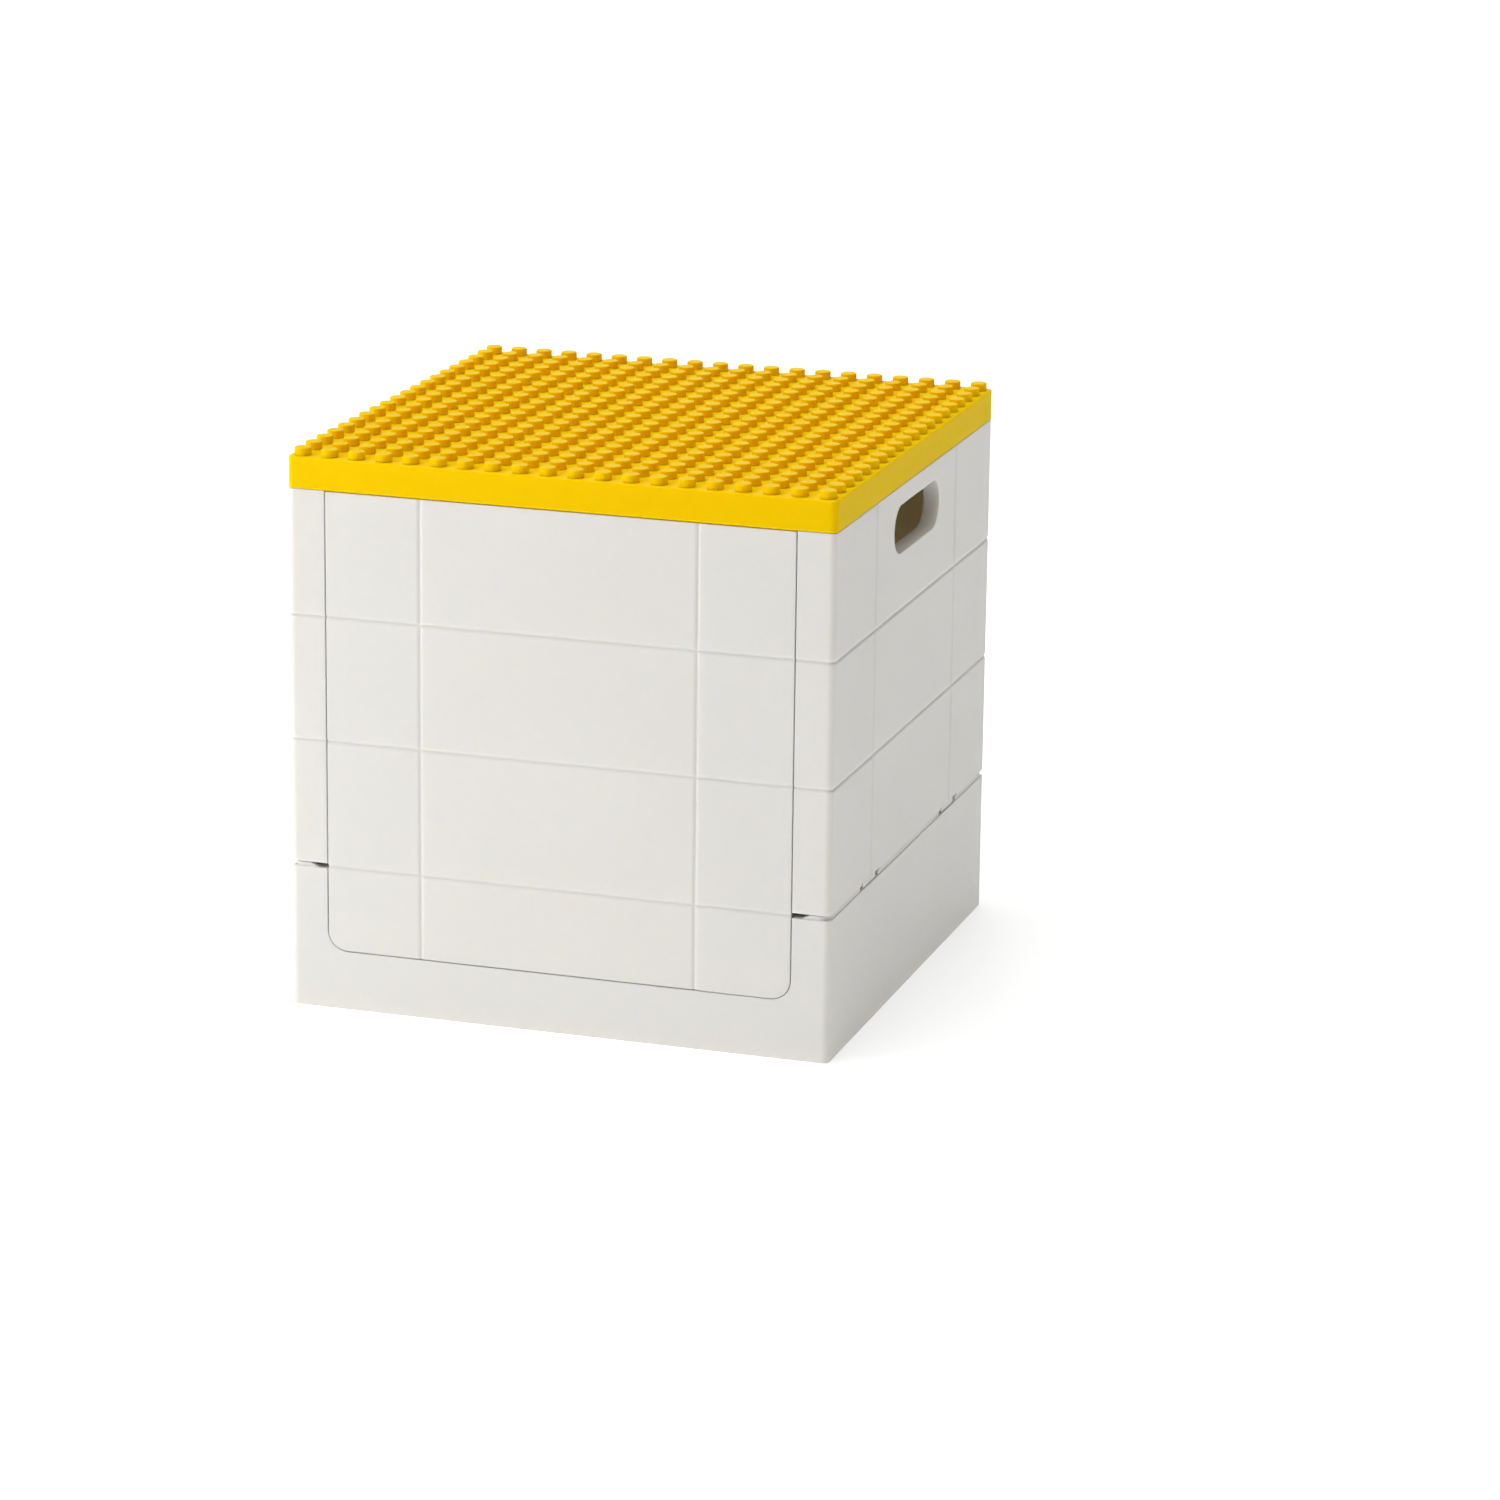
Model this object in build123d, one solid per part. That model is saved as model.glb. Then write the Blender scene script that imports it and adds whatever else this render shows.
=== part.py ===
from build123d import *
import math
import os

# A folding storage box: a low tray, two end walls with handle holes and two wall panels that
# fold down inside the tray, and a studded lid whose skirt fits over the rim of the set-up box.
# Millimetres, +Z up, origin at the centre of the base, front towards -Y.

# Overall sizes
box_width = 318.0
box_depth = 318.0
tray_height = 82.0
shoulder_height = 300.0
corner_radius = 4.0
skin = 2.6
overrun = 1.0

# Rim that stands inside the lid's skirt
rim_height = 13.0
rim_setback = 3.0
rim_corner_radius = 2.5
low_rim_height = 3.0
low_rim_length = 45.0
rim_ramp_length = 6.0
rim_slot_width = 4.0
rim_centre_gap = 3.0
rim_overhang = 3.5
rim_overhang_lift = 2.5
rim_corner_reach = 12.5
pocket_frame = 2.2
pocket_draft = 1.2

# Tray
floor_lift = 3.0
floor_thickness = 2.5
foot_width = 7.0
notch_floor = 34.0
notch_radius = 12.0
jamb_depth = 10.0
neck_height = 2.7
neck_thickness = 2.2
neck_root = 8.0
neck_return = 14.0
neck_slope = 5.5
underside_rib = 2.0

# Walls and panels
wall_thickness = 10.0
post_width = 22.0
panel_thickness = 13.0
seat_gap = 0.1
side_gap = 1.0
sill_gap = 0.5
shoulder_gap = 0.5
column_line = 80.5
row_count = 3
heel_relief = 2.2
heel_height = 18.0
groove_width = 2.4
groove_depth = 1.0
recess_border = 4.0
recess_foot = 10.0
recess_head = 12.0
handle_length = 92.0
handle_height = 28.0
handle_drop = 25.0

# Hinges
pin_radius = 2.0
pin_fit = 0.06
lug_radius = 3.5
lug_width = 25.0
lug_end_gap = 0.5
cheek_thickness = 4.0
cheek_reach = 3.9
gusset_drop = 8.0
lug_window_gap = 5.0
panel_lug_inset = 38.0
left_axis_inset = 18.0
right_axis_inset = 9.5
layer_gap = 0.5
panel_layer_gap = 1.0
lug_shoulder = 6.0
lug_relief = 1.4

# Lid
skirt_height = 18.0
lid_plate = 3.0
skirt_fit = 0.4
stud_pitch = 16.0
stud_radius = 4.7
stud_height = 4.5
stud_facets = 6

# Places worked out from the sizes above
half_width = box_width / 2
half_depth = box_depth / 2
neck_top = tray_height + neck_height
wall_bottom = neck_top + seat_gap
seam_middle = (tray_height + wall_bottom) / 2
rim_top = shoulder_height + rim_height
floor_top = floor_lift + floor_thickness
notch_half_width = half_width - post_width
panel_half_width = notch_half_width - side_gap
panel_lug_line = panel_half_width - panel_lug_inset
panel_bottom = notch_floor + sill_gap
panel_shoulder = shoulder_height - shoulder_gap
pocket_depth = wall_thickness - rim_setback - skin
pocket_top = rim_top - pocket_frame
low_rim_top = shoulder_height + low_rim_height
row_height = (shoulder_height - wall_bottom) / row_count
row_lines = [wall_bottom + row * row_height for row in range(1, row_count)]
lug_span = lug_width + 2 * (lug_end_gap + cheek_thickness)
lug_window = lug_width + 2 * lug_window_gap
panel_axis_inset = panel_thickness / 2

# The folded layers, from the floor up: front panel, back panel, right wall, left wall
front_axis_height = floor_top + layer_gap + panel_thickness / 2
back_axis_height = front_axis_height + panel_thickness + panel_layer_gap
left_axis_height = tray_height - left_axis_inset
right_axis_height = tray_height - post_width - layer_gap - right_axis_inset

LOW = (Align.CENTER, Align.CENTER, Align.MIN)


def block(x_low, x_high, y_low, y_high, z_low, z_high):
    """A rectangular block between two corners."""
    size = (x_high - x_low, y_high - y_low, z_high - z_low)
    middle = ((x_low + x_high) / 2, (y_low + y_high) / 2, z_low)
    return Pos(*middle) * Box(*size, align=LOW)


def rounded_block(width, depth, radius, z_low, z_high):
    """An upright block with round vertical corners, centred on Z."""
    outline = RectangleRounded(width, depth, radius)
    return Pos(0, 0, z_low) * extrude(outline, z_high - z_low)


def along_x(points, x_low, x_high):
    """Extrudes an outline of (y, z) points along X."""
    face = Plane.YZ * make_face(Polyline(*points, close=True))
    return Pos(x_low, 0, 0) * extrude(face, x_high - x_low)


def along_y(points, y_low, y_high):
    """Extrudes an outline of (x, z) points along +Y."""
    face = Plane.XZ * make_face(Polyline(*points, close=True))
    return Pos(0, y_low, 0) * extrude(face, -(y_high - y_low))


def rod_x(radius, x_low, x_high, y, z):
    """A round bar along X."""
    return Pos((x_low + x_high) / 2, y, z) * Rot(0, 90, 0) * Cylinder(radius, x_high - x_low)


def rod_y(radius, y_low, y_high, x, z):
    """A round bar along Y."""
    return Pos(x, (y_low + y_high) / 2, z) * Rot(90, 0, 0) * Cylinder(radius, y_high - y_low)


def upright_groove(x, z_low, z_high):
    """A V-shaped cutter along Z, as wide as the groove at the face y = -half_depth."""
    outer_y, apex_y = -half_depth - groove_depth, -half_depth + groove_depth
    points = [(x - groove_width, outer_y), (x + groove_width, outer_y), (x, apex_y)]
    return Pos(0, 0, z_low) * extrude(make_face(Polyline(*points, close=True)), z_high - z_low)


def level_groove(z, x_low, x_high):
    """The same cutter along X."""
    outer_y, apex_y = -half_depth - groove_depth, -half_depth + groove_depth
    points = [(outer_y, z - groove_width), (outer_y, z + groove_width), (apex_y, z)]
    return along_x(points, x_low, x_high)


def wrapped_groove(z):
    """A V-shaped cutter all round the box at one height, which keeps its depth at the corners."""
    rise = groove_width / 2
    slope = math.degrees(math.atan2(groove_depth, rise))
    outline = RectangleRounded(box_width, box_depth, corner_radius)
    above = Pos(0, 0, z + rise) * extrude(outline, -rise, taper=slope)
    below = Pos(0, 0, z - rise) * extrude(outline, rise, taper=slope)
    return block(-box_width, box_width, -box_depth, box_depth, z - rise, z + rise) - above - below


def rim_pocket(start, end, outer_y, depth, slope=0.0):
    """A tapered pocket cut into a rim lip from outside, open at the shoulder."""
    floor_y = outer_y + depth
    low, high = start + pocket_frame, end - pocket_frame
    mouth = [(low, shoulder_height), (high, shoulder_height),
             (high, pocket_top), (low + slope, pocket_top)]
    drawn = [(low + pocket_draft, shoulder_height), (high - pocket_draft, shoulder_height),
             (high - pocket_draft, pocket_top - pocket_draft),
             (low + slope + pocket_draft, pocket_top - pocket_draft)]
    front = Plane.XZ.offset(-(outer_y)) * make_face(Polyline(*mouth, close=True))
    back = Plane.XZ.offset(-(floor_y)) * make_face(Polyline(*drawn, close=True))
    return loft([front, back], ruled=True)


def panel_rim():
    """The panel's lip: a long framed tab, a tab with a ramp and a low bead, mirrored."""
    outer_y = -half_depth + rim_setback
    inner_y = -half_depth + panel_thickness
    depth = panel_thickness - rim_setback - skin
    slot_low = column_line - rim_slot_width / 2
    slot_high = column_line + rim_slot_width / 2
    reach = panel_half_width + rim_overhang
    lift = shoulder_height + rim_overhang_lift
    ramp_top = low_rim_length + rim_ramp_length

    long_tab = along_y([(slot_high, panel_shoulder), (panel_half_width, panel_shoulder),
                        (panel_half_width, lift), (reach, lift), (reach, rim_top),
                        (slot_high, rim_top)], outer_y, inner_y)
    ramp_tab = along_y([(rim_centre_gap / 2, panel_shoulder), (slot_low, panel_shoulder),
                        (slot_low, rim_top), (ramp_top, rim_top), (low_rim_length, low_rim_top),
                        (rim_centre_gap / 2, low_rim_top)], outer_y, inner_y)
    long_tab -= rim_pocket(slot_high, reach, outer_y, depth)
    ramp_tab -= rim_pocket(low_rim_length, slot_low, outer_y, depth, rim_ramp_length)
    half = [long_tab, ramp_tab]
    return half + [mirror(tab, Plane.YZ) for tab in half]


def panel_lug(axis_height, x):
    """A hinge lug that hangs from the panel's bottom edge, round at the pin."""
    axis_y = -half_depth + panel_axis_inset
    shank = block(x - lug_width / 2, x + lug_width / 2, axis_y - lug_radius, axis_y + lug_radius,
                  axis_height, panel_bottom + overrun)
    return shank + rod_x(lug_radius, x - lug_width / 2, x + lug_width / 2, axis_y, axis_height)


def wall_panel(axis_height):
    """A wall panel as it stands at the front, with its hinge pins' axis at a given height."""
    outer_y = -half_depth
    inner_y = outer_y + panel_thickness
    corner = notch_radius - side_gap
    outline = Pos(0, (panel_bottom + panel_shoulder) / 2) * Rectangle(
        2 * panel_half_width, panel_shoulder - panel_bottom)
    outline = fillet(outline.vertices().group_by(Axis.Y)[0], corner)
    slab = Pos(0, inner_y, 0) * extrude(Plane.XZ * outline, panel_thickness)

    recess_low = column_line + recess_border
    recess_high = panel_half_width - recess_border
    for low, high in ((recess_low, recess_high), (-recess_high, -recess_low)):
        slab -= block(low, high, outer_y + skin, inner_y + overrun,
                      panel_bottom + recess_foot + corner, shoulder_height - recess_head)
    heel = [(inner_y + overrun, panel_bottom - overrun), (inner_y - heel_relief, panel_bottom - overrun),
            (inner_y - heel_relief, panel_bottom), (inner_y, panel_bottom + heel_height),
            (inner_y + overrun, panel_bottom + heel_height)]
    slab -= along_x(heel, -half_width, half_width)
    for tab in panel_rim():
        slab += tab

    for x in (-column_line, column_line):
        slab -= upright_groove(x, panel_bottom - overrun, shoulder_height)
    for z in row_lines + [seam_middle]:
        slab -= level_groove(z, -half_width, half_width)

    axis_y = outer_y + panel_axis_inset
    for x in (-panel_lug_line, panel_lug_line):
        slab += panel_lug(axis_height, x)
        slab -= rod_x(pin_radius + pin_fit, x - lug_width, x + lug_width, axis_y, axis_height)
    return slab


def end_wall_rim():
    """The end wall's lip in four framed tabs, two of them turning the corner."""
    outer_x = half_width - rim_setback
    lip = wall_thickness - rim_setback
    outline = Pos(outer_x - rim_corner_reach / 2, 0) * Rectangle(
        rim_corner_reach, box_depth - 2 * rim_setback)
    outline = fillet(outline.vertices().group_by(Axis.X)[-1], rim_corner_radius)
    hollow = Pos(outer_x - lip - rim_corner_reach, 0) * Rectangle(
        2 * rim_corner_reach, box_depth - 2 * rim_setback - 2 * lip)
    rim = Pos(0, 0, shoulder_height - overrun) * extrude(outline - hollow, rim_height + overrun)

    gaps = [(-column_line, rim_slot_width), (0, rim_centre_gap), (column_line, rim_slot_width)]
    for middle, width in gaps:
        rim -= block(outer_x - 2 * lip, half_width, middle - width / 2, middle + width / 2,
                     shoulder_height, rim_top + overrun)
    corner_y = half_depth - rim_setback - rim_corner_radius
    slot = rim_slot_width / 2
    tabs = [(column_line + slot, corner_y), (rim_centre_gap / 2, column_line - slot)]
    for low, high in tabs:
        pocket = Rot(0, 0, 90) * rim_pocket(low, high, -outer_x, pocket_depth)
        rim -= pocket
        rim -= mirror(pocket, Plane.XZ)
    return rim


def end_wall_lug(axis_inset, axis_height, y):
    """A hinge lug below the end wall, reaching in to the pin that the wall folds about."""
    axis_x = half_width - axis_inset
    outer_x = half_width - rim_setback
    inner_x = axis_x - lug_radius
    wall_inner_x = half_width - wall_thickness
    points = [(outer_x, wall_bottom + lug_shoulder), (outer_x, axis_height + lug_shoulder),
              (axis_x + lug_radius, axis_height), (inner_x, axis_height),
              (inner_x, wall_bottom - lug_shoulder / 2),
              (wall_inner_x, wall_bottom + lug_shoulder + wall_inner_x - inner_x)]
    y_low, y_high = y - lug_width / 2, y + lug_width / 2
    return along_y(points, y_low, y_high) + rod_y(lug_radius, y_low, y_high, axis_x, axis_height)


def end_wall(axis_inset, axis_height):
    """An end wall as it stands at the right, between its two corner posts."""
    inner_x = half_width - wall_thickness
    post_x = half_width - post_width
    post_y = half_depth - panel_thickness
    outline = Pos(half_width - post_width / 2, 0) * Rectangle(post_width, box_depth)
    outline = fillet(outline.vertices().group_by(Axis.X)[-1], corner_radius)
    bay = Pos(inner_x - post_width / 2, 0) * Rectangle(post_width, 2 * post_y)
    wall = Pos(0, 0, wall_bottom) * extrude(outline - bay, shoulder_height - wall_bottom)

    recess_low = column_line + recess_border
    recess_high = post_y - recess_border
    for low, high in ((recess_low, recess_high), (-recess_high, -recess_low)):
        wall -= block(post_x - overrun, half_width - skin, low, high,
                      wall_bottom + recess_foot, shoulder_height - recess_head)
    wall += end_wall_rim()

    handle = SlotOverall(handle_length, handle_height)
    mouth_z = shoulder_height - handle_drop
    wall -= Pos(inner_x - overrun, 0, mouth_z) * extrude(
        Plane.YZ * handle, wall_thickness + 2 * overrun)

    turned = Rot(0, 0, 90)
    for y in (-column_line, column_line):
        wall -= turned * upright_groove(y, wall_bottom - overrun, shoulder_height + overrun)
    for z in row_lines:
        wall -= wrapped_groove(z)

    axis_x = half_width - axis_inset
    for y in (-column_line, column_line):
        wall -= block(post_x, half_width, y - lug_window / 2, y + lug_window / 2, wall_bottom,
                      wall_bottom + lug_relief)
        wall += end_wall_lug(axis_inset, axis_height, y)
        wall -= rod_y(pin_radius + pin_fit, y - lug_width, y + lug_width, axis_x, axis_height)
    return wall


def panel_cheeks(axis_height, facing):
    """The pairs of cheeks inside the tray's front or back that hold the panel's pins."""
    axis_y = -half_depth + panel_axis_inset
    wall_y = -half_depth + skin / 2
    cheeks = []
    for x in (-panel_lug_line, panel_lug_line):
        for side in (-1, 1):
            near = x + side * (lug_width / 2 + lug_end_gap)
            far = near + side * cheek_thickness
            low, high = min(near, far), max(near, far)
            cheek = block(low, high, wall_y, axis_y + cheek_reach, axis_height - cheek_reach,
                          axis_height + cheek_reach)
            cheek -= rod_x(pin_radius + pin_fit, low - overrun, high + overrun, axis_y, axis_height)
            cheeks.append(facing * cheek)
    return cheeks


def end_wall_cheeks(axis_inset, axis_height, facing):
    """The pairs of gusseted cheeks inside the tray's side that hold the end wall's pins."""
    axis_x = half_width - axis_inset
    wall_x = half_width - skin / 2
    points = [(wall_x, axis_height + cheek_reach), (axis_x - cheek_reach, axis_height + cheek_reach),
              (axis_x - cheek_reach, axis_height - cheek_reach),
              (wall_x, axis_height - cheek_reach - gusset_drop)]
    cheeks = []
    for y in (-column_line, column_line):
        for side in (-1, 1):
            near = y + side * (lug_width / 2 + lug_end_gap)
            far = near + side * cheek_thickness
            low, high = min(near, far), max(near, far)
            cheek = along_y(points, low, high)
            cheek -= rod_y(pin_radius + pin_fit, low - overrun, high + overrun, axis_x, axis_height)
            cheeks.append(facing * cheek)
    return cheeks


def tray_neck():
    """The raised neck on the tray's sides that the end walls or the lid's skirt fit over."""
    outer = (box_width - 2 * rim_setback, box_depth - 2 * rim_setback)
    inner = (outer[0] - 2 * neck_thickness, outer[1] - 2 * neck_thickness)
    ring = RectangleRounded(*outer, rim_corner_radius) - Rectangle(*inner)
    root = RectangleRounded(box_width - skin, box_depth - skin, rim_corner_radius)
    neck = Pos(0, 0, tray_height) * extrude(ring, neck_height)
    neck += Pos(0, 0, tray_height - neck_root) * extrude(root - Rectangle(*inner), neck_root)
    low_reach = half_width - rim_setback - neck_return
    top_reach = low_reach + neck_slope
    span = [(-low_reach, 0), (low_reach, 0), (low_reach, tray_height), (top_reach, neck_top),
            (top_reach, rim_top), (-top_reach, rim_top), (-top_reach, neck_top),
            (-low_reach, tray_height)]
    neck -= along_y(span, -half_depth, half_depth)
    for y in (-column_line, column_line):
        neck -= block(-half_width, half_width, y - lug_window / 2, y + lug_window / 2, 0, rim_top)
    return neck


def tray_shell():
    """The tray's outer skin, raised floor, foot ring and the ribs under the floor."""
    shell = rounded_block(box_width, box_depth, corner_radius, 0, tray_height)
    inner_width, inner_depth = box_width - 2 * skin, box_depth - 2 * skin
    inner_radius = corner_radius - skin
    shell -= rounded_block(inner_width, inner_depth, inner_radius, floor_top, tray_height + overrun)
    hollow_width, hollow_depth = box_width - 2 * foot_width, box_depth - 2 * foot_width
    shell -= rounded_block(hollow_width, hollow_depth, corner_radius, -overrun, floor_lift)
    rib = underside_rib / 2
    rib_low = floor_lift - underside_rib
    shell += block(-rib, rib, -hollow_depth / 2, hollow_depth / 2, rib_low, floor_lift)
    shell += block(-hollow_width / 2, hollow_width / 2, -rib, rib, rib_low, floor_lift)
    return shell


def base_tray():
    """The low tray, with a wide round-cornered notch in its front and back."""
    tray = tray_shell()
    for facing in (Rot(0, 0, 0), Rot(0, 0, 180)):
        outer_y, inner_y = -half_depth, -half_depth + jamb_depth
        for side in (-1, 1):
            edge = side * notch_half_width
            post = side * half_width
            jamb = side * (notch_half_width + skin)
            tray += facing * block(min(edge, jamb), max(edge, jamb), outer_y + skin / 2, inner_y,
                                   floor_top, tray_height)
            tray += facing * block(min(edge, post - side * skin / 2), max(edge, post - side * skin / 2),
                                   outer_y + skin / 2, inner_y, tray_height - skin, tray_height)
        top = tray_height + overrun
        mouth = Pos(0, (notch_floor + top + notch_radius) / 2) * RectangleRounded(
            2 * notch_half_width, top + notch_radius - notch_floor, notch_radius)
        cut = Pos(0, inner_y + overrun, 0) * extrude(Plane.XZ * mouth, jamb_depth + 2 * overrun)
        tray -= facing * cut
    tray += tray_neck()
    parts = panel_cheeks(front_axis_height, Rot(0, 0, 0))
    parts += panel_cheeks(back_axis_height, Rot(0, 0, 180))
    parts += end_wall_cheeks(right_axis_inset, right_axis_height, Rot(0, 0, 0))
    parts += end_wall_cheeks(left_axis_inset, left_axis_height, Rot(0, 0, 180))
    for cheek in parts:
        tray += cheek
    return tray


def lid():
    """The lid: a plate with a skirt around it and a grid of studs on top."""
    base = shoulder_height + seat_gap
    top = shoulder_height + skirt_height
    plate_under = top - lid_plate
    skirt = rim_setback - skirt_fit
    cover = rounded_block(box_width, box_depth, corner_radius, base, top)
    cover -= rounded_block(box_width - 2 * skirt, box_depth - 2 * skirt, corner_radius - skirt,
                           base - overrun, plate_under)

    across = round(box_width / stud_pitch)
    deep = round(box_depth / stud_pitch)
    last_x, last_y = (across - 1) * stud_pitch / 2, (deep - 1) * stud_pitch / 2
    corners, others = [], []
    for place in GridLocations(stud_pitch, stud_pitch, across, deep):
        x, y = place.position.X, place.position.Y
        at_corner = abs(abs(x) - last_x) < skin and abs(abs(y) - last_y) < skin
        (corners if at_corner else others).append((x, y))
    studs = Sketch() + [Pos(*spot) * RegularPolygon(stud_radius, stud_facets) for spot in others]
    studs += [Pos(*spot) * Circle(stud_radius) for spot in corners]
    return cover + Pos(0, 0, top) * extrude(studs, stud_height)


def hinge_pin(across_front, line, axis_inset, axis_height):
    """One hinge pin, as long as its lug and both cheeks, along X or along Y."""
    if across_front:
        y = -half_depth + axis_inset
        return rod_x(pin_radius, line - lug_span / 2, line + lug_span / 2, y, axis_height)
    x = half_width - axis_inset
    return rod_y(pin_radius, line - lug_span / 2, line + lug_span / 2, x, axis_height)


def hinge_pins():
    """The eight pins by name, two for each folding side."""
    turned = Rot(0, 0, 180)
    pins = {}
    for name, side in (("left", -1), ("right", 1)):
        front = hinge_pin(True, side * panel_lug_line, panel_axis_inset, front_axis_height)
        back = hinge_pin(True, -side * panel_lug_line, panel_axis_inset, back_axis_height)
        pins["front_panel_pin_" + name] = front
        pins["back_panel_pin_" + name] = turned * back
    for name, side in (("front", -1), ("rear", 1)):
        right = hinge_pin(False, side * column_line, right_axis_inset, right_axis_height)
        left = hinge_pin(False, -side * column_line, left_axis_inset, left_axis_height)
        pins["right_wall_pin_" + name] = right
        pins["left_wall_pin_" + name] = turned * left
    return pins


def assembly():
    """Every piece by name, at its place in the set-up box."""
    pieces = {
        "base_tray": base_tray(),
        "right_wall": end_wall(right_axis_inset, right_axis_height),
        "left_wall": Rot(0, 0, 180) * end_wall(left_axis_inset, left_axis_height),
        "front_panel": wall_panel(front_axis_height),
        "back_panel": Rot(0, 0, 180) * wall_panel(back_axis_height),
        "lid": lid(),
    }
    pieces.update(hinge_pins())
    return pieces


os.makedirs("parts", exist_ok=True)
for name, piece in assembly().items():
    export_step(piece, "parts/" + name + ".step")
    print(name, round(piece.volume), "mm3")
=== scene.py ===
import math

import bmesh
import bpy
from mathutils import Matrix, Vector


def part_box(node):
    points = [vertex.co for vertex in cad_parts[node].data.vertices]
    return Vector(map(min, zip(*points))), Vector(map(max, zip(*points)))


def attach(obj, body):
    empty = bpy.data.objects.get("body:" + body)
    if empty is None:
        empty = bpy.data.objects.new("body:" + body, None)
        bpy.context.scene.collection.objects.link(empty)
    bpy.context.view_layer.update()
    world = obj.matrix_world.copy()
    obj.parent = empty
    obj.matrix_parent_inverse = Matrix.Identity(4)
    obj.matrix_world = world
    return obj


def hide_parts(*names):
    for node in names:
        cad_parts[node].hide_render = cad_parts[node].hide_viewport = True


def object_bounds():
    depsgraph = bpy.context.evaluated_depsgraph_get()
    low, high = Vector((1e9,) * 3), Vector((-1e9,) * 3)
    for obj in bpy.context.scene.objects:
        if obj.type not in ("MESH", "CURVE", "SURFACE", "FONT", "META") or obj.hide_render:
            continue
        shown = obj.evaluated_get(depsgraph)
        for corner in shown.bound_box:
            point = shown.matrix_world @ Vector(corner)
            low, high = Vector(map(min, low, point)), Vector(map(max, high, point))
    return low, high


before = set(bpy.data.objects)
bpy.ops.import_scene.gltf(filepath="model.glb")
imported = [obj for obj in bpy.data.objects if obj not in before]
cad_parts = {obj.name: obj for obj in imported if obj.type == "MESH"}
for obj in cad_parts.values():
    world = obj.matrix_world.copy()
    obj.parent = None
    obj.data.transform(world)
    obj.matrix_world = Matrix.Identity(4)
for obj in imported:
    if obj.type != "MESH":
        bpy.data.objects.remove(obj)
cad_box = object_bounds()
mm = 0.001


# Base tray
# A low open tray, injection moulded in warm white polypropylene. Its front and back have a wide
# notch for the fold-down panels, and a thin neck round its top carries the end walls.
class Value:
    """A node's output. Sums on it add Math nodes."""

    def __init__(self, network, source):
        self.network, self.source = network, source

    def math(self, operation, other):
        return self.network.node("ShaderNodeMath", dict(operation=operation), {0: self, 1: other})

    def __add__(self, other):
        return self.math("ADD", other)

    def __mul__(self, other):
        return self.math("MULTIPLY", other)

    def __pow__(self, other):
        return self.math("POWER", other)

    __radd__, __rmul__ = __add__, __mul__


class Network:
    """The nodes of a material or of the sky, around one shader node."""

    def __init__(self, owner, shader_name):
        owner.use_nodes = True
        self.tree = owner.node_tree
        self.shader = self.tree.nodes[shader_name]

    def plug(self, socket, value):
        """Links a node's output to a socket, or sets the socket to a plain value."""
        if isinstance(value, Value):
            self.tree.links.new(value.source, socket)
        else:
            socket.default_value = value

    def feed(self, name, value):
        self.plug(self.shader.inputs[name], value)

    def node(self, kind, settings, sockets, output=0):
        """Adds a node: first its settings, then its sockets by number or by name."""
        node = self.tree.nodes.new(kind)
        for setting, value in settings.items():
            setattr(node, setting, value)
        for key, value in sockets.items():
            self.plug(node.inputs[key], value)
        return Value(self, node.outputs[output])

    def blend(self, factor, first, second):
        """Mixes two colours by a value, through the colour sockets of a Mix node."""
        return self.node("ShaderNodeMix", dict(data_type="RGBA"),
                         {0: factor, 6: first, 7: second}, output=2)


plastic_index = 1.47


class Finish(Network):
    """A material around one Principled BSDF, read on Object coordinates in metres."""

    def __init__(self, name, roughness):
        self.material = bpy.data.materials.new(name)
        super().__init__(self.material, "Principled BSDF")
        self.feed("Roughness", roughness)
        self.feed("IOR", plastic_index)
        self.place = self.node("ShaderNodeTexCoord", {}, {}, output="Object")

    def noise(self, size, detail=2.0):
        """Noise from 0 to 1 whose blotches are about `size` metres across."""
        sockets = dict(Vector=self.place, Scale=1 / size, Detail=detail)
        return self.node("ShaderNodeTexNoise", {}, sockets, output="Fac")


cloud_size = 90 * mm
cloud_share = 0.75
fleck_size = 6 * mm
# Painted crease shade: how far to look for nearby surfaces, and how fast the shade colour gives
# way to the body colour.
crease_size = 7 * mm
crease_reach = 2.2
smear_size = 25 * mm
smear_spread = 0.1
grain_size = 0.7 * mm
grain_depth = 0.15 * mm
grain_strength = 0.12
light_depth = 4 * mm


def moulded_plastic(name, pale, deep, painted_crease_shade, roughness, gloss, glow, glow_colours):
    """Satin moulded plastic: faint flow clouds, fine spark-eroded grain, painted warm shade in
    inner corners.
    """
    finish = Finish(name, roughness)
    clouds = finish.noise(cloud_size, detail=3.0)
    flecks = finish.noise(fleck_size)
    mottle = clouds * cloud_share + flecks * (1 - cloud_share)
    body = finish.blend(mottle, deep, pale)
    # Painted shade: the base colour turns to the crease colour where nearby surfaces of the same
    # piece close it in. It stands in for the shade and warm bounce light in creases and seams.
    open_air = finish.node("ShaderNodeAmbientOcclusion", dict(samples=8, only_local=True),
                           dict(Distance=crease_size), output="AO")
    finish.feed("Base Color", finish.blend(open_air * crease_reach, painted_crease_shade, body))
    smear = finish.noise(smear_size, detail=4.0)
    finish.feed("Roughness", roughness - smear_spread / 2 + smear * smear_spread)
    grain = dict(Height=finish.noise(grain_size), Strength=grain_strength, Distance=grain_depth)
    finish.feed("Normal", finish.node("ShaderNodeBump", {}, grain))
    finish.feed("Specular IOR Level", gloss)
    finish.feed("Subsurface Weight", glow)
    finish.feed("Subsurface Radius", glow_colours)
    finish.feed("Subsurface Scale", light_depth)
    return finish.material


# The crease colour is a warm painted shade for the creases and seams of the white shell and the
# pins.
shell_colours = dict(pale=(0.785, 0.77, 0.735, 1), deep=(0.745, 0.73, 0.69, 1),
                     painted_crease_shade=(0.72, 0.64, 0.5, 1), glow=0.8, glow_colours=(1.0, 0.85, 0.6))
shell_plastic = moulded_plastic("warm_white_shell_plastic", roughness=0.42, gloss=0.3,
                                **shell_colours)


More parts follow.
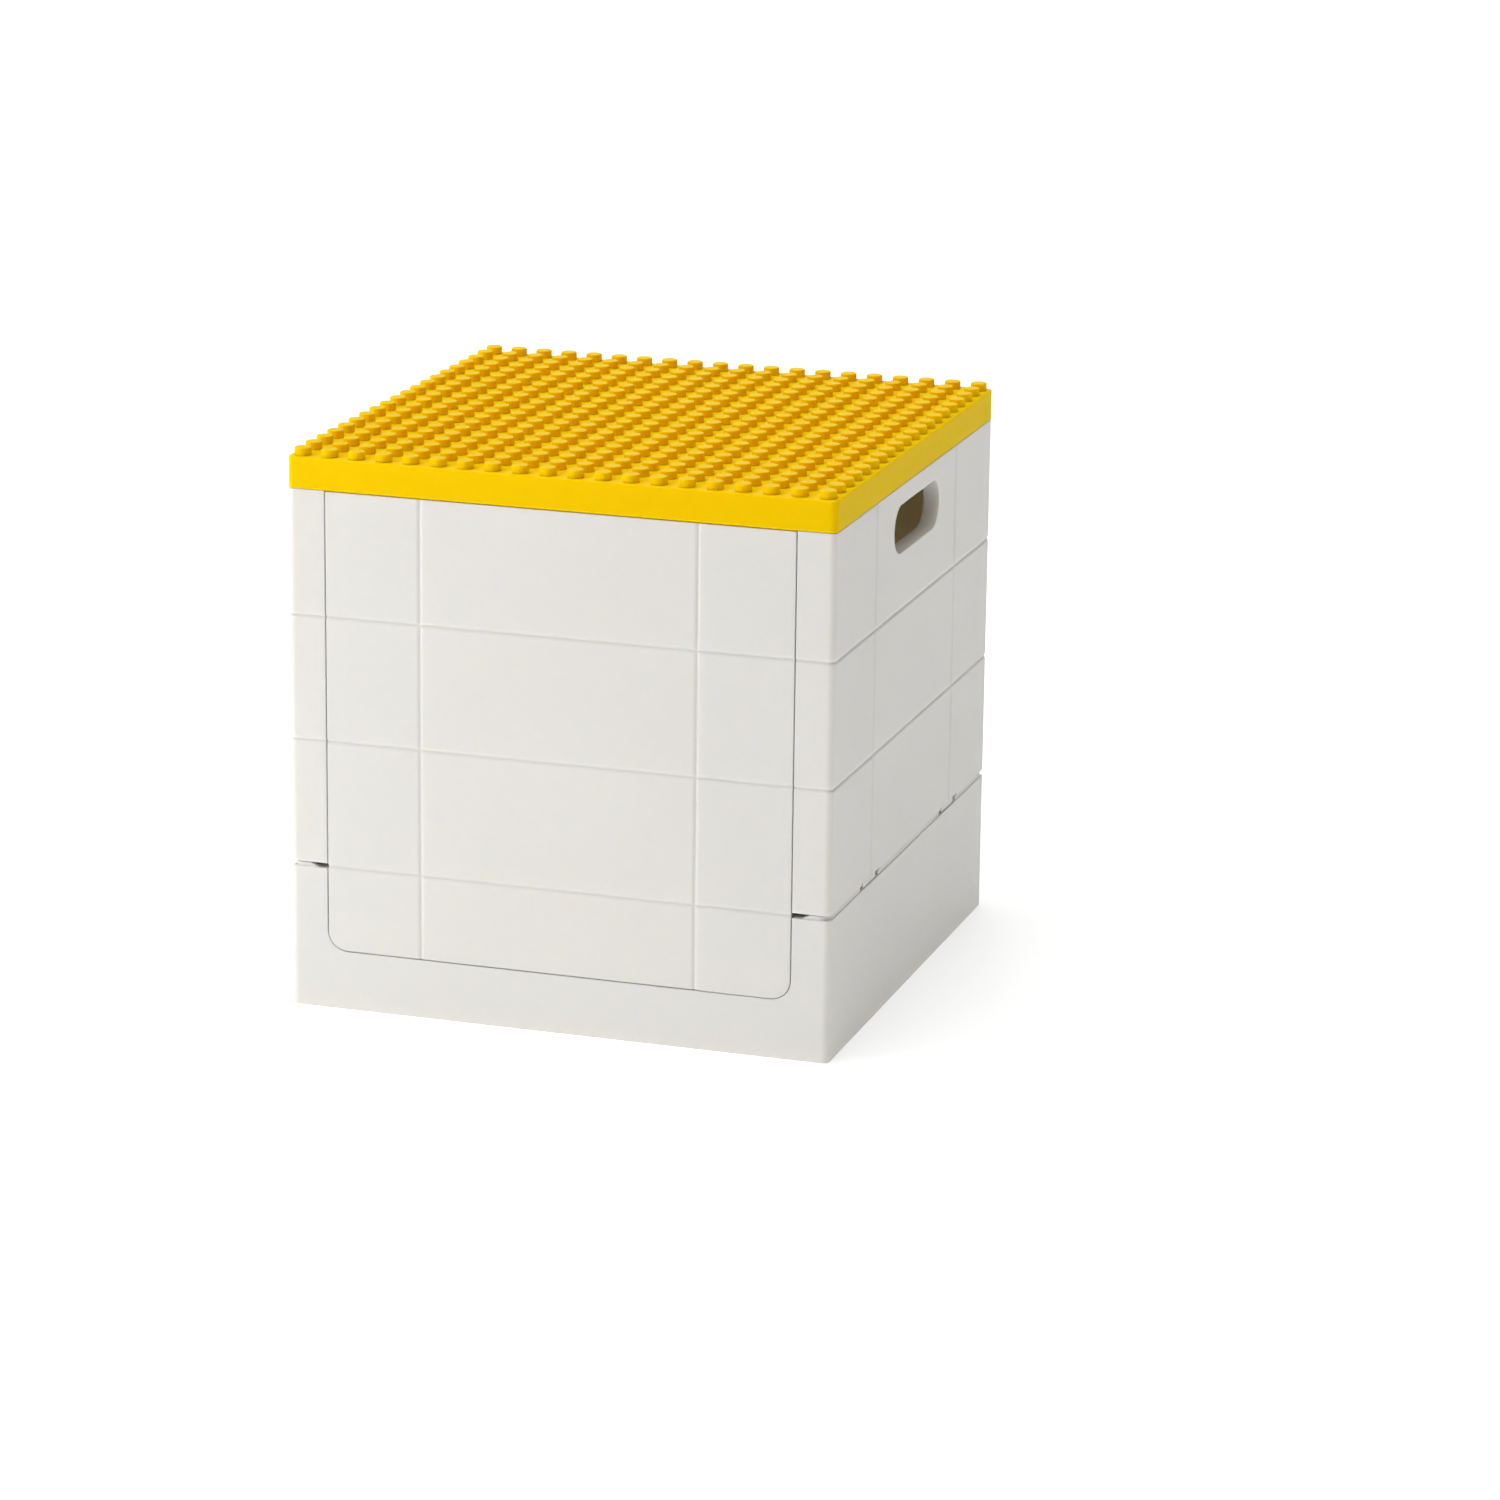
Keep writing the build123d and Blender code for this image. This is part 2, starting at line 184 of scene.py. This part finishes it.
def finished(name, mesh, material, body, nodes):
    """Makes a piece of a mesh, in its material, on its body, in place of its CAD nodes."""
    mesh.materials.clear()
    mesh.materials.append(material)
    piece = bpy.data.objects.new(name, mesh)
    bpy.context.scene.collection.objects.link(piece)
    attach(piece, body)
    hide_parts(*nodes)
    return piece


def keep_faces_flat(piece):
    """Shades a piece's flat faces flat right up to its small round edges."""
    facing = piece.modifiers.new("flat_faces_stay_flat", "WEIGHTED_NORMAL")
    facing.keep_sharp = True


shell_half = (cad_box[1][0] - cad_box[0][0]) / 2
shell_corner = 4 * mm
tray_lip = 82 * mm
wall_lip = 84.8 * mm
shoulder = 300 * mm
shoulder_step = 0.6 * mm
ring_play = 0.05 * mm
height_play = 0.01 * mm
sharp_angle = math.radians(30)
shoulder_angle = math.radians(60)
valley_angle = math.radians(85)
wall_lip_softness = 1.1 * mm
tray_lip_softness = 0.6 * mm
shoulder_softness = 0.9 * mm
valley_softness = 0.5 * mm
edge_softness = 0.5 * mm
step_softness = 0.15 * mm
crease_softness = 0.08 * mm
soft_facets = 2


def on_ring(vert, half, corner):
    """Whether a corner point lies on an upright ring that is square with round corners."""
    past = [max(abs(vert.co[axis]) - half + corner, 0) for axis in (0, 1)]
    return abs(math.hypot(*past) - corner) < ring_play


def on_skin(vert):
    return on_ring(vert, shell_half, shell_corner)


def level_at(edge, height, play):
    """Whether both ends of an edge are at a height."""
    return all(abs(vert.co.z - height) < play for vert in edge.verts)


def softness(edge):
    """How far the mould rounds an edge: the most along the seam and on groove shoulders."""
    angle = edge.calc_face_angle(0)
    if angle < sharp_angle:
        return 0
    if not edge.is_convex:
        return valley_softness if angle < valley_angle else crease_softness
    if angle < shoulder_angle:
        return shoulder_softness
    if level_at(edge, shoulder, shoulder_step) and not any(map(on_skin, edge.verts)):
        return step_softness
    if all(map(on_skin, edge.verts)):
        if level_at(edge, wall_lip, height_play):
            return wall_lip_softness
        if level_at(edge, tray_lip, height_play):
            return tray_lip_softness
    return edge_softness


merge_distance = 0.002 * mm
flat_angle = math.radians(1)


def merged_copy(node):
    """A CAD piece's shape, its loose triangles merged into whole faces."""
    shape = bmesh.new()
    shape.from_mesh(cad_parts[node].data)
    bmesh.ops.remove_doubles(shape, verts=shape.verts, dist=merge_distance)
    bmesh.ops.dissolve_limit(shape, angle_limit=flat_angle, verts=shape.verts, edges=shape.edges,
                             use_dissolve_boundaries=False, delimit=set())
    return shape


def soft_edged(name, shape, node, body):
    """A shell piece with the small round edges that a mould gives it."""
    share = shape.edges.layers.float.new("bevel_weight_edge")
    for edge in shape.edges:
        edge[share] = softness(edge) / wall_lip_softness
    for face in shape.faces:
        face.smooth = True
    mesh = bpy.data.meshes.new(name)
    shape.to_mesh(mesh)
    shape.free()
    piece = finished(name, mesh, shell_plastic, body, [node])
    rounding = piece.modifiers.new("moulded_edges", "BEVEL")
    rounding.limit_method = "WEIGHT"
    rounding.width, rounding.segments = wall_lip_softness, soft_facets
    rounding.use_clamp_overlap = False
    keep_faces_flat(piece)


# The neck stands further out here than in the solid, so that the seam is as shallow as it looks.
neck_half = 156 * mm
neck_corner = 2.5 * mm
neck_growth = 2.2 * mm
grown_corner = 7 * mm
tray = merged_copy("base_tray")
for vert in tray.verts:
    if tray_lip - height_play < vert.co.z < wall_lip and on_ring(vert, neck_half, neck_corner):
        past = [(abs(vert.co[axis]) - neck_half + neck_corner) / neck_corner for axis in (0, 1)]
        at_corner = min(past) > -height_play / neck_corner
        for axis in (0, 1):
            if at_corner:
                reach = neck_half + neck_growth + (past[axis] - 1) * grown_corner
            else:
                reach = abs(vert.co[axis]) + max(past[axis], 0) * neck_growth
            vert.co[axis] = math.copysign(reach, vert.co[axis])
soft_edged("tray", tray, "base_tray", "base")


# Hinge pins
# Eight short round pins, two for each folding side, that join the lugs of a wall to the
# cheeks inside the tray. They are drawn plastic rod, a little smoother than the shell.
pin_plastic = moulded_plastic("hinge_pin_plastic", roughness=0.34, gloss=0.4, **shell_colours)
for name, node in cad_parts.items():
    if "_pin_" in name:
        node.data.materials.clear()
        node.data.materials.append(pin_plastic)


# End walls
# The left and right walls, each one moulding with its two corner posts, its lip in four framed
# tabs and its handle hole. They stand over the tray's neck and hang on lugs inside it.
# A tongue in each lug window leaves only a small dark gap at each of the window's ends.
lug_line = 80.5 * mm
tongue_width = 24 * mm
tongue_depth = 4 * mm
tongue_foot = tray_lip + 0.2 * mm
tongue_head = wall_lip + 2.2 * mm
for name, node, side in (("right_end_wall", "right_wall", 1), ("left_end_wall", "left_wall", -1)):
    wall = merged_copy(node)
    tongue_x = side * (neck_half + neck_growth - tongue_depth / 2)
    for tongue_y in (-lug_line, lug_line):
        middle = (tongue_x, tongue_y, (tongue_foot + tongue_head) / 2)
        size = (tongue_depth, tongue_width, tongue_head - tongue_foot)
        bmesh.ops.create_cube(wall, size=1, matrix=Matrix.LocRotScale(middle, None, size))
    soft_edged(name, wall, node, "base")


# Drop-in panels
# The front and back panels, which fill the notches of the tray and the space between the posts.
# Each is one moulding with a framed lip, and folds inwards on two lugs below its bottom edge.
# They are a little wider here than in the solids, for the narrow gap lines beside the posts.
panel_spread = 1.003
for name, node in (("front_drop_panel", "front_panel"), ("back_drop_panel", "back_panel")):
    panel = merged_copy(node)
    bmesh.ops.scale(panel, verts=panel.verts, vec=(panel_spread, 1, 1))
    soft_edged(name, panel, node, node)


# Lid
# A flat cover with a skirt that fits over the rim, moulded with a full grid of round studs in
# golden yellow plastic. The plate and the studs are one moulding.
# The crease colour is a painted shade for the lid's creases, a little deeper orange than its
# body.
lid_colours = dict(pale=(0.99, 0.61, 0.002, 1), deep=(0.97, 0.57, 0.001, 1),
                   painted_crease_shade=(0.97, 0.52, 0.001, 1), glow=0.6, glow_colours=(1.0, 0.6, 0.1))
lid_plastic = moulded_plastic("golden_lid_plastic", roughness=0.4, gloss=0.01, **lid_colours)

lid_low, lid_high = (Vector(corner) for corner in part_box("lid"))
lid_width = lid_high.x - lid_low.x
lid_plate = 3 * mm
lid_corner = 4 * mm
corner_facets = 8
lid_edge = 0.7 * mm
edge_facets = 3
rim_angle = math.radians(60)
skirt_thickness = 2.6 * mm
stud_pitch = 16 * mm
stud_radius = 4.7 * mm
stud_height = 4.5 * mm
stud_root = 0.3 * mm
stud_edge = 0.5 * mm
stud_sides = 16
studs_along = round(lid_width / stud_pitch)
plate_top = lid_high.z - stud_height


def move_made(shape, made, step):
    """Moves the corner points of what an operator has just made."""
    corners = [part for part in made["geom"] if isinstance(part, bmesh.types.BMVert)]
    bmesh.ops.translate(shape, verts=corners, vec=step)


cover = bmesh.new()
bmesh.ops.create_grid(cover, x_segments=1, y_segments=1, size=lid_width / 2,
                      matrix=Matrix.Translation((0, 0, lid_low.z)))
bmesh.ops.bevel(cover, geom=cover.verts[:], offset=lid_corner, segments=corner_facets,
                profile=0.5, affect="VERTICES", material=-1)
top = bmesh.ops.extrude_face_region(cover, geom=cover.faces[:])
move_made(cover, top, (0, 0, plate_top - lid_low.z))
bmesh.ops.recalc_face_normals(cover, faces=cover.faces)
underside = min(cover.faces, key=lambda face: face.calc_center_median().z)
bmesh.ops.inset_region(cover, faces=[underside], thickness=skirt_thickness)
ceiling = bmesh.ops.extrude_face_region(cover, geom=[underside])
move_made(cover, ceiling, (0, 0, plate_top - lid_plate - lid_low.z))
bmesh.ops.recalc_face_normals(cover, faces=cover.faces)
rims = [edge for edge in cover.edges if edge.calc_face_angle(0) > rim_angle
        and abs(edge.verts[0].co.z - edge.verts[1].co.z) < mm]
bmesh.ops.bevel(cover, geom=rims, offset=lid_edge, segments=edge_facets, profile=0.5,
                affect="EDGES", material=-1)

studs = bmesh.new()
bmesh.ops.create_cone(studs, cap_ends=True, segments=stud_sides, radius1=stud_radius,
                      radius2=stud_radius, depth=stud_height + stud_root)
first_spot = -(studs_along - 1) * stud_pitch / 2
stud_middle = plate_top + (stud_height - stud_root) / 2
bmesh.ops.translate(studs, verts=studs.verts, vec=(first_spot, first_spot, stud_middle))
for edge in studs.edges:
    edge.smooth = any(vert.co.z > plate_top for vert in edge.verts)
brim = [edge for edge in studs.edges if level_at(edge, lid_high.z, height_play)]
bmesh.ops.bevel(studs, geom=brim, offset=stud_edge, segments=1, profile=0.5, affect="EDGES",
                material=-1)
for step in (Vector((stud_pitch, 0, 0)), Vector((0, stud_pitch, 0))):
    first = studs.verts[:] + studs.edges[:] + studs.faces[:]
    for place in range(1, studs_along):
        move_made(studs, bmesh.ops.duplicate(studs, geom=first), step * place)

lid_mesh = bpy.data.meshes.new("studded_lid")
studs.to_mesh(lid_mesh)
studs.free()
cover.from_mesh(lid_mesh)
for face in cover.faces:
    face.smooth = True
cover.to_mesh(lid_mesh)
cover.free()
keep_faces_flat(finished("studded_lid", lid_mesh, lid_plastic, "lid", ["lid"]))


# Floor and light
# A pale studio floor under a white sky that is brightest overhead, with one soft light from the
# front left and one from behind, as in a catalogue picture. The floor glows a little, so that
# hardly any shadow shows on it.
floor_reach = 30
floor_cloud = 0.4
floor_glow = 0.34
floor_deep = (0.93, 0.93, 0.93, 1)
floor_pale = (0.96, 0.96, 0.96, 1)
white = (1, 1, 1, 1)
floor_mesh = bpy.data.meshes.new("floor")
ground = bmesh.new()
bmesh.ops.create_grid(ground, x_segments=1, y_segments=1, size=floor_reach)
ground.to_mesh(floor_mesh)
ground.free()
floor_paint = Finish("pale_floor", roughness=0.8)
floor_paint.feed("Base Color", floor_paint.blend(floor_paint.noise(floor_cloud), floor_deep,
                                                 floor_pale))
floor_paint.feed("Emission Color", white)
floor_paint.feed("Emission Strength", floor_glow)
floor_mesh.materials.append(floor_paint.material)
floor = bpy.data.objects.new("floor", floor_mesh)
bpy.context.scene.collection.objects.link(floor)

sky_low = 0.03
sky_rise = 3.3
sky_focus = 6
bright_pole = Vector((-0.12, -0.12, 0.98)).normalized()
sky = bpy.data.worlds.new("studio_sky")
sky_light = Network(sky, "Background")
view_line = sky_light.node("ShaderNodeTexCoord", {}, {}, output="Generated")
upness = sky_light.node("ShaderNodeVectorMath", dict(operation="DOT_PRODUCT"),
                        {0: view_line, 1: bright_pole}, output="Value").math("MAXIMUM", 0)
sky_light.feed("Strength", upness ** sky_focus * sky_rise + sky_low)
sky_light.feed("Color", white)
bpy.context.scene.world = sky

box_middle = Vector((0, 0, 0.15))


def soft_light(name, place, size, watts, colour=(1, 1, 1), seen=True):
    """A round soft light that points at the middle of the box."""
    lamp = bpy.data.lights.new(name, "AREA")
    lamp.shape, lamp.size, lamp.energy, lamp.color = "DISK", size, watts, colour
    light = bpy.data.objects.new(name, lamp)
    turn = (Vector(place) - box_middle).to_track_quat("Z", "Y").to_matrix().to_4x4()
    light.matrix_world = Matrix.Translation(place) @ turn
    light.visible_camera = seen
    bpy.context.scene.collection.objects.link(light)


soft_light("broad_front_light", (-1.2, -1.0, 0.5), size=0.8, watts=8.4)
soft_light("low_back_light", (-0.9, 2.8, 1.1), size=1.2, watts=9, colour=(1.0, 0.97, 0.92),
           seen=False)


# Camera
# A long lens a little over three metres off, to the front right and above. Its place and turn
# were fitted to the corners of the box, and it stands level to a degree.
camera_place = (0.95679, -2.83410, 0.95767)
heading = math.radians(17.53)
downward = math.radians(15.58)
roll = math.radians(0.729)
focal_length = 128.25
film_width = 36
lens = bpy.data.cameras.new("camera")
lens.lens, lens.sensor_width = focal_length, film_width
camera = bpy.data.objects.new("camera", lens)
camera.matrix_world = (Matrix.Translation(camera_place) @ Matrix.Rotation(heading, 4, "Z")
                       @ Matrix.Rotation(math.pi / 2 - downward, 4, "X")
                       @ Matrix.Rotation(roll, 4, "Z"))
bpy.context.scene.collection.objects.link(camera)
bpy.context.scene.camera = camera
bpy.context.scene.view_settings.view_transform = "Standard"
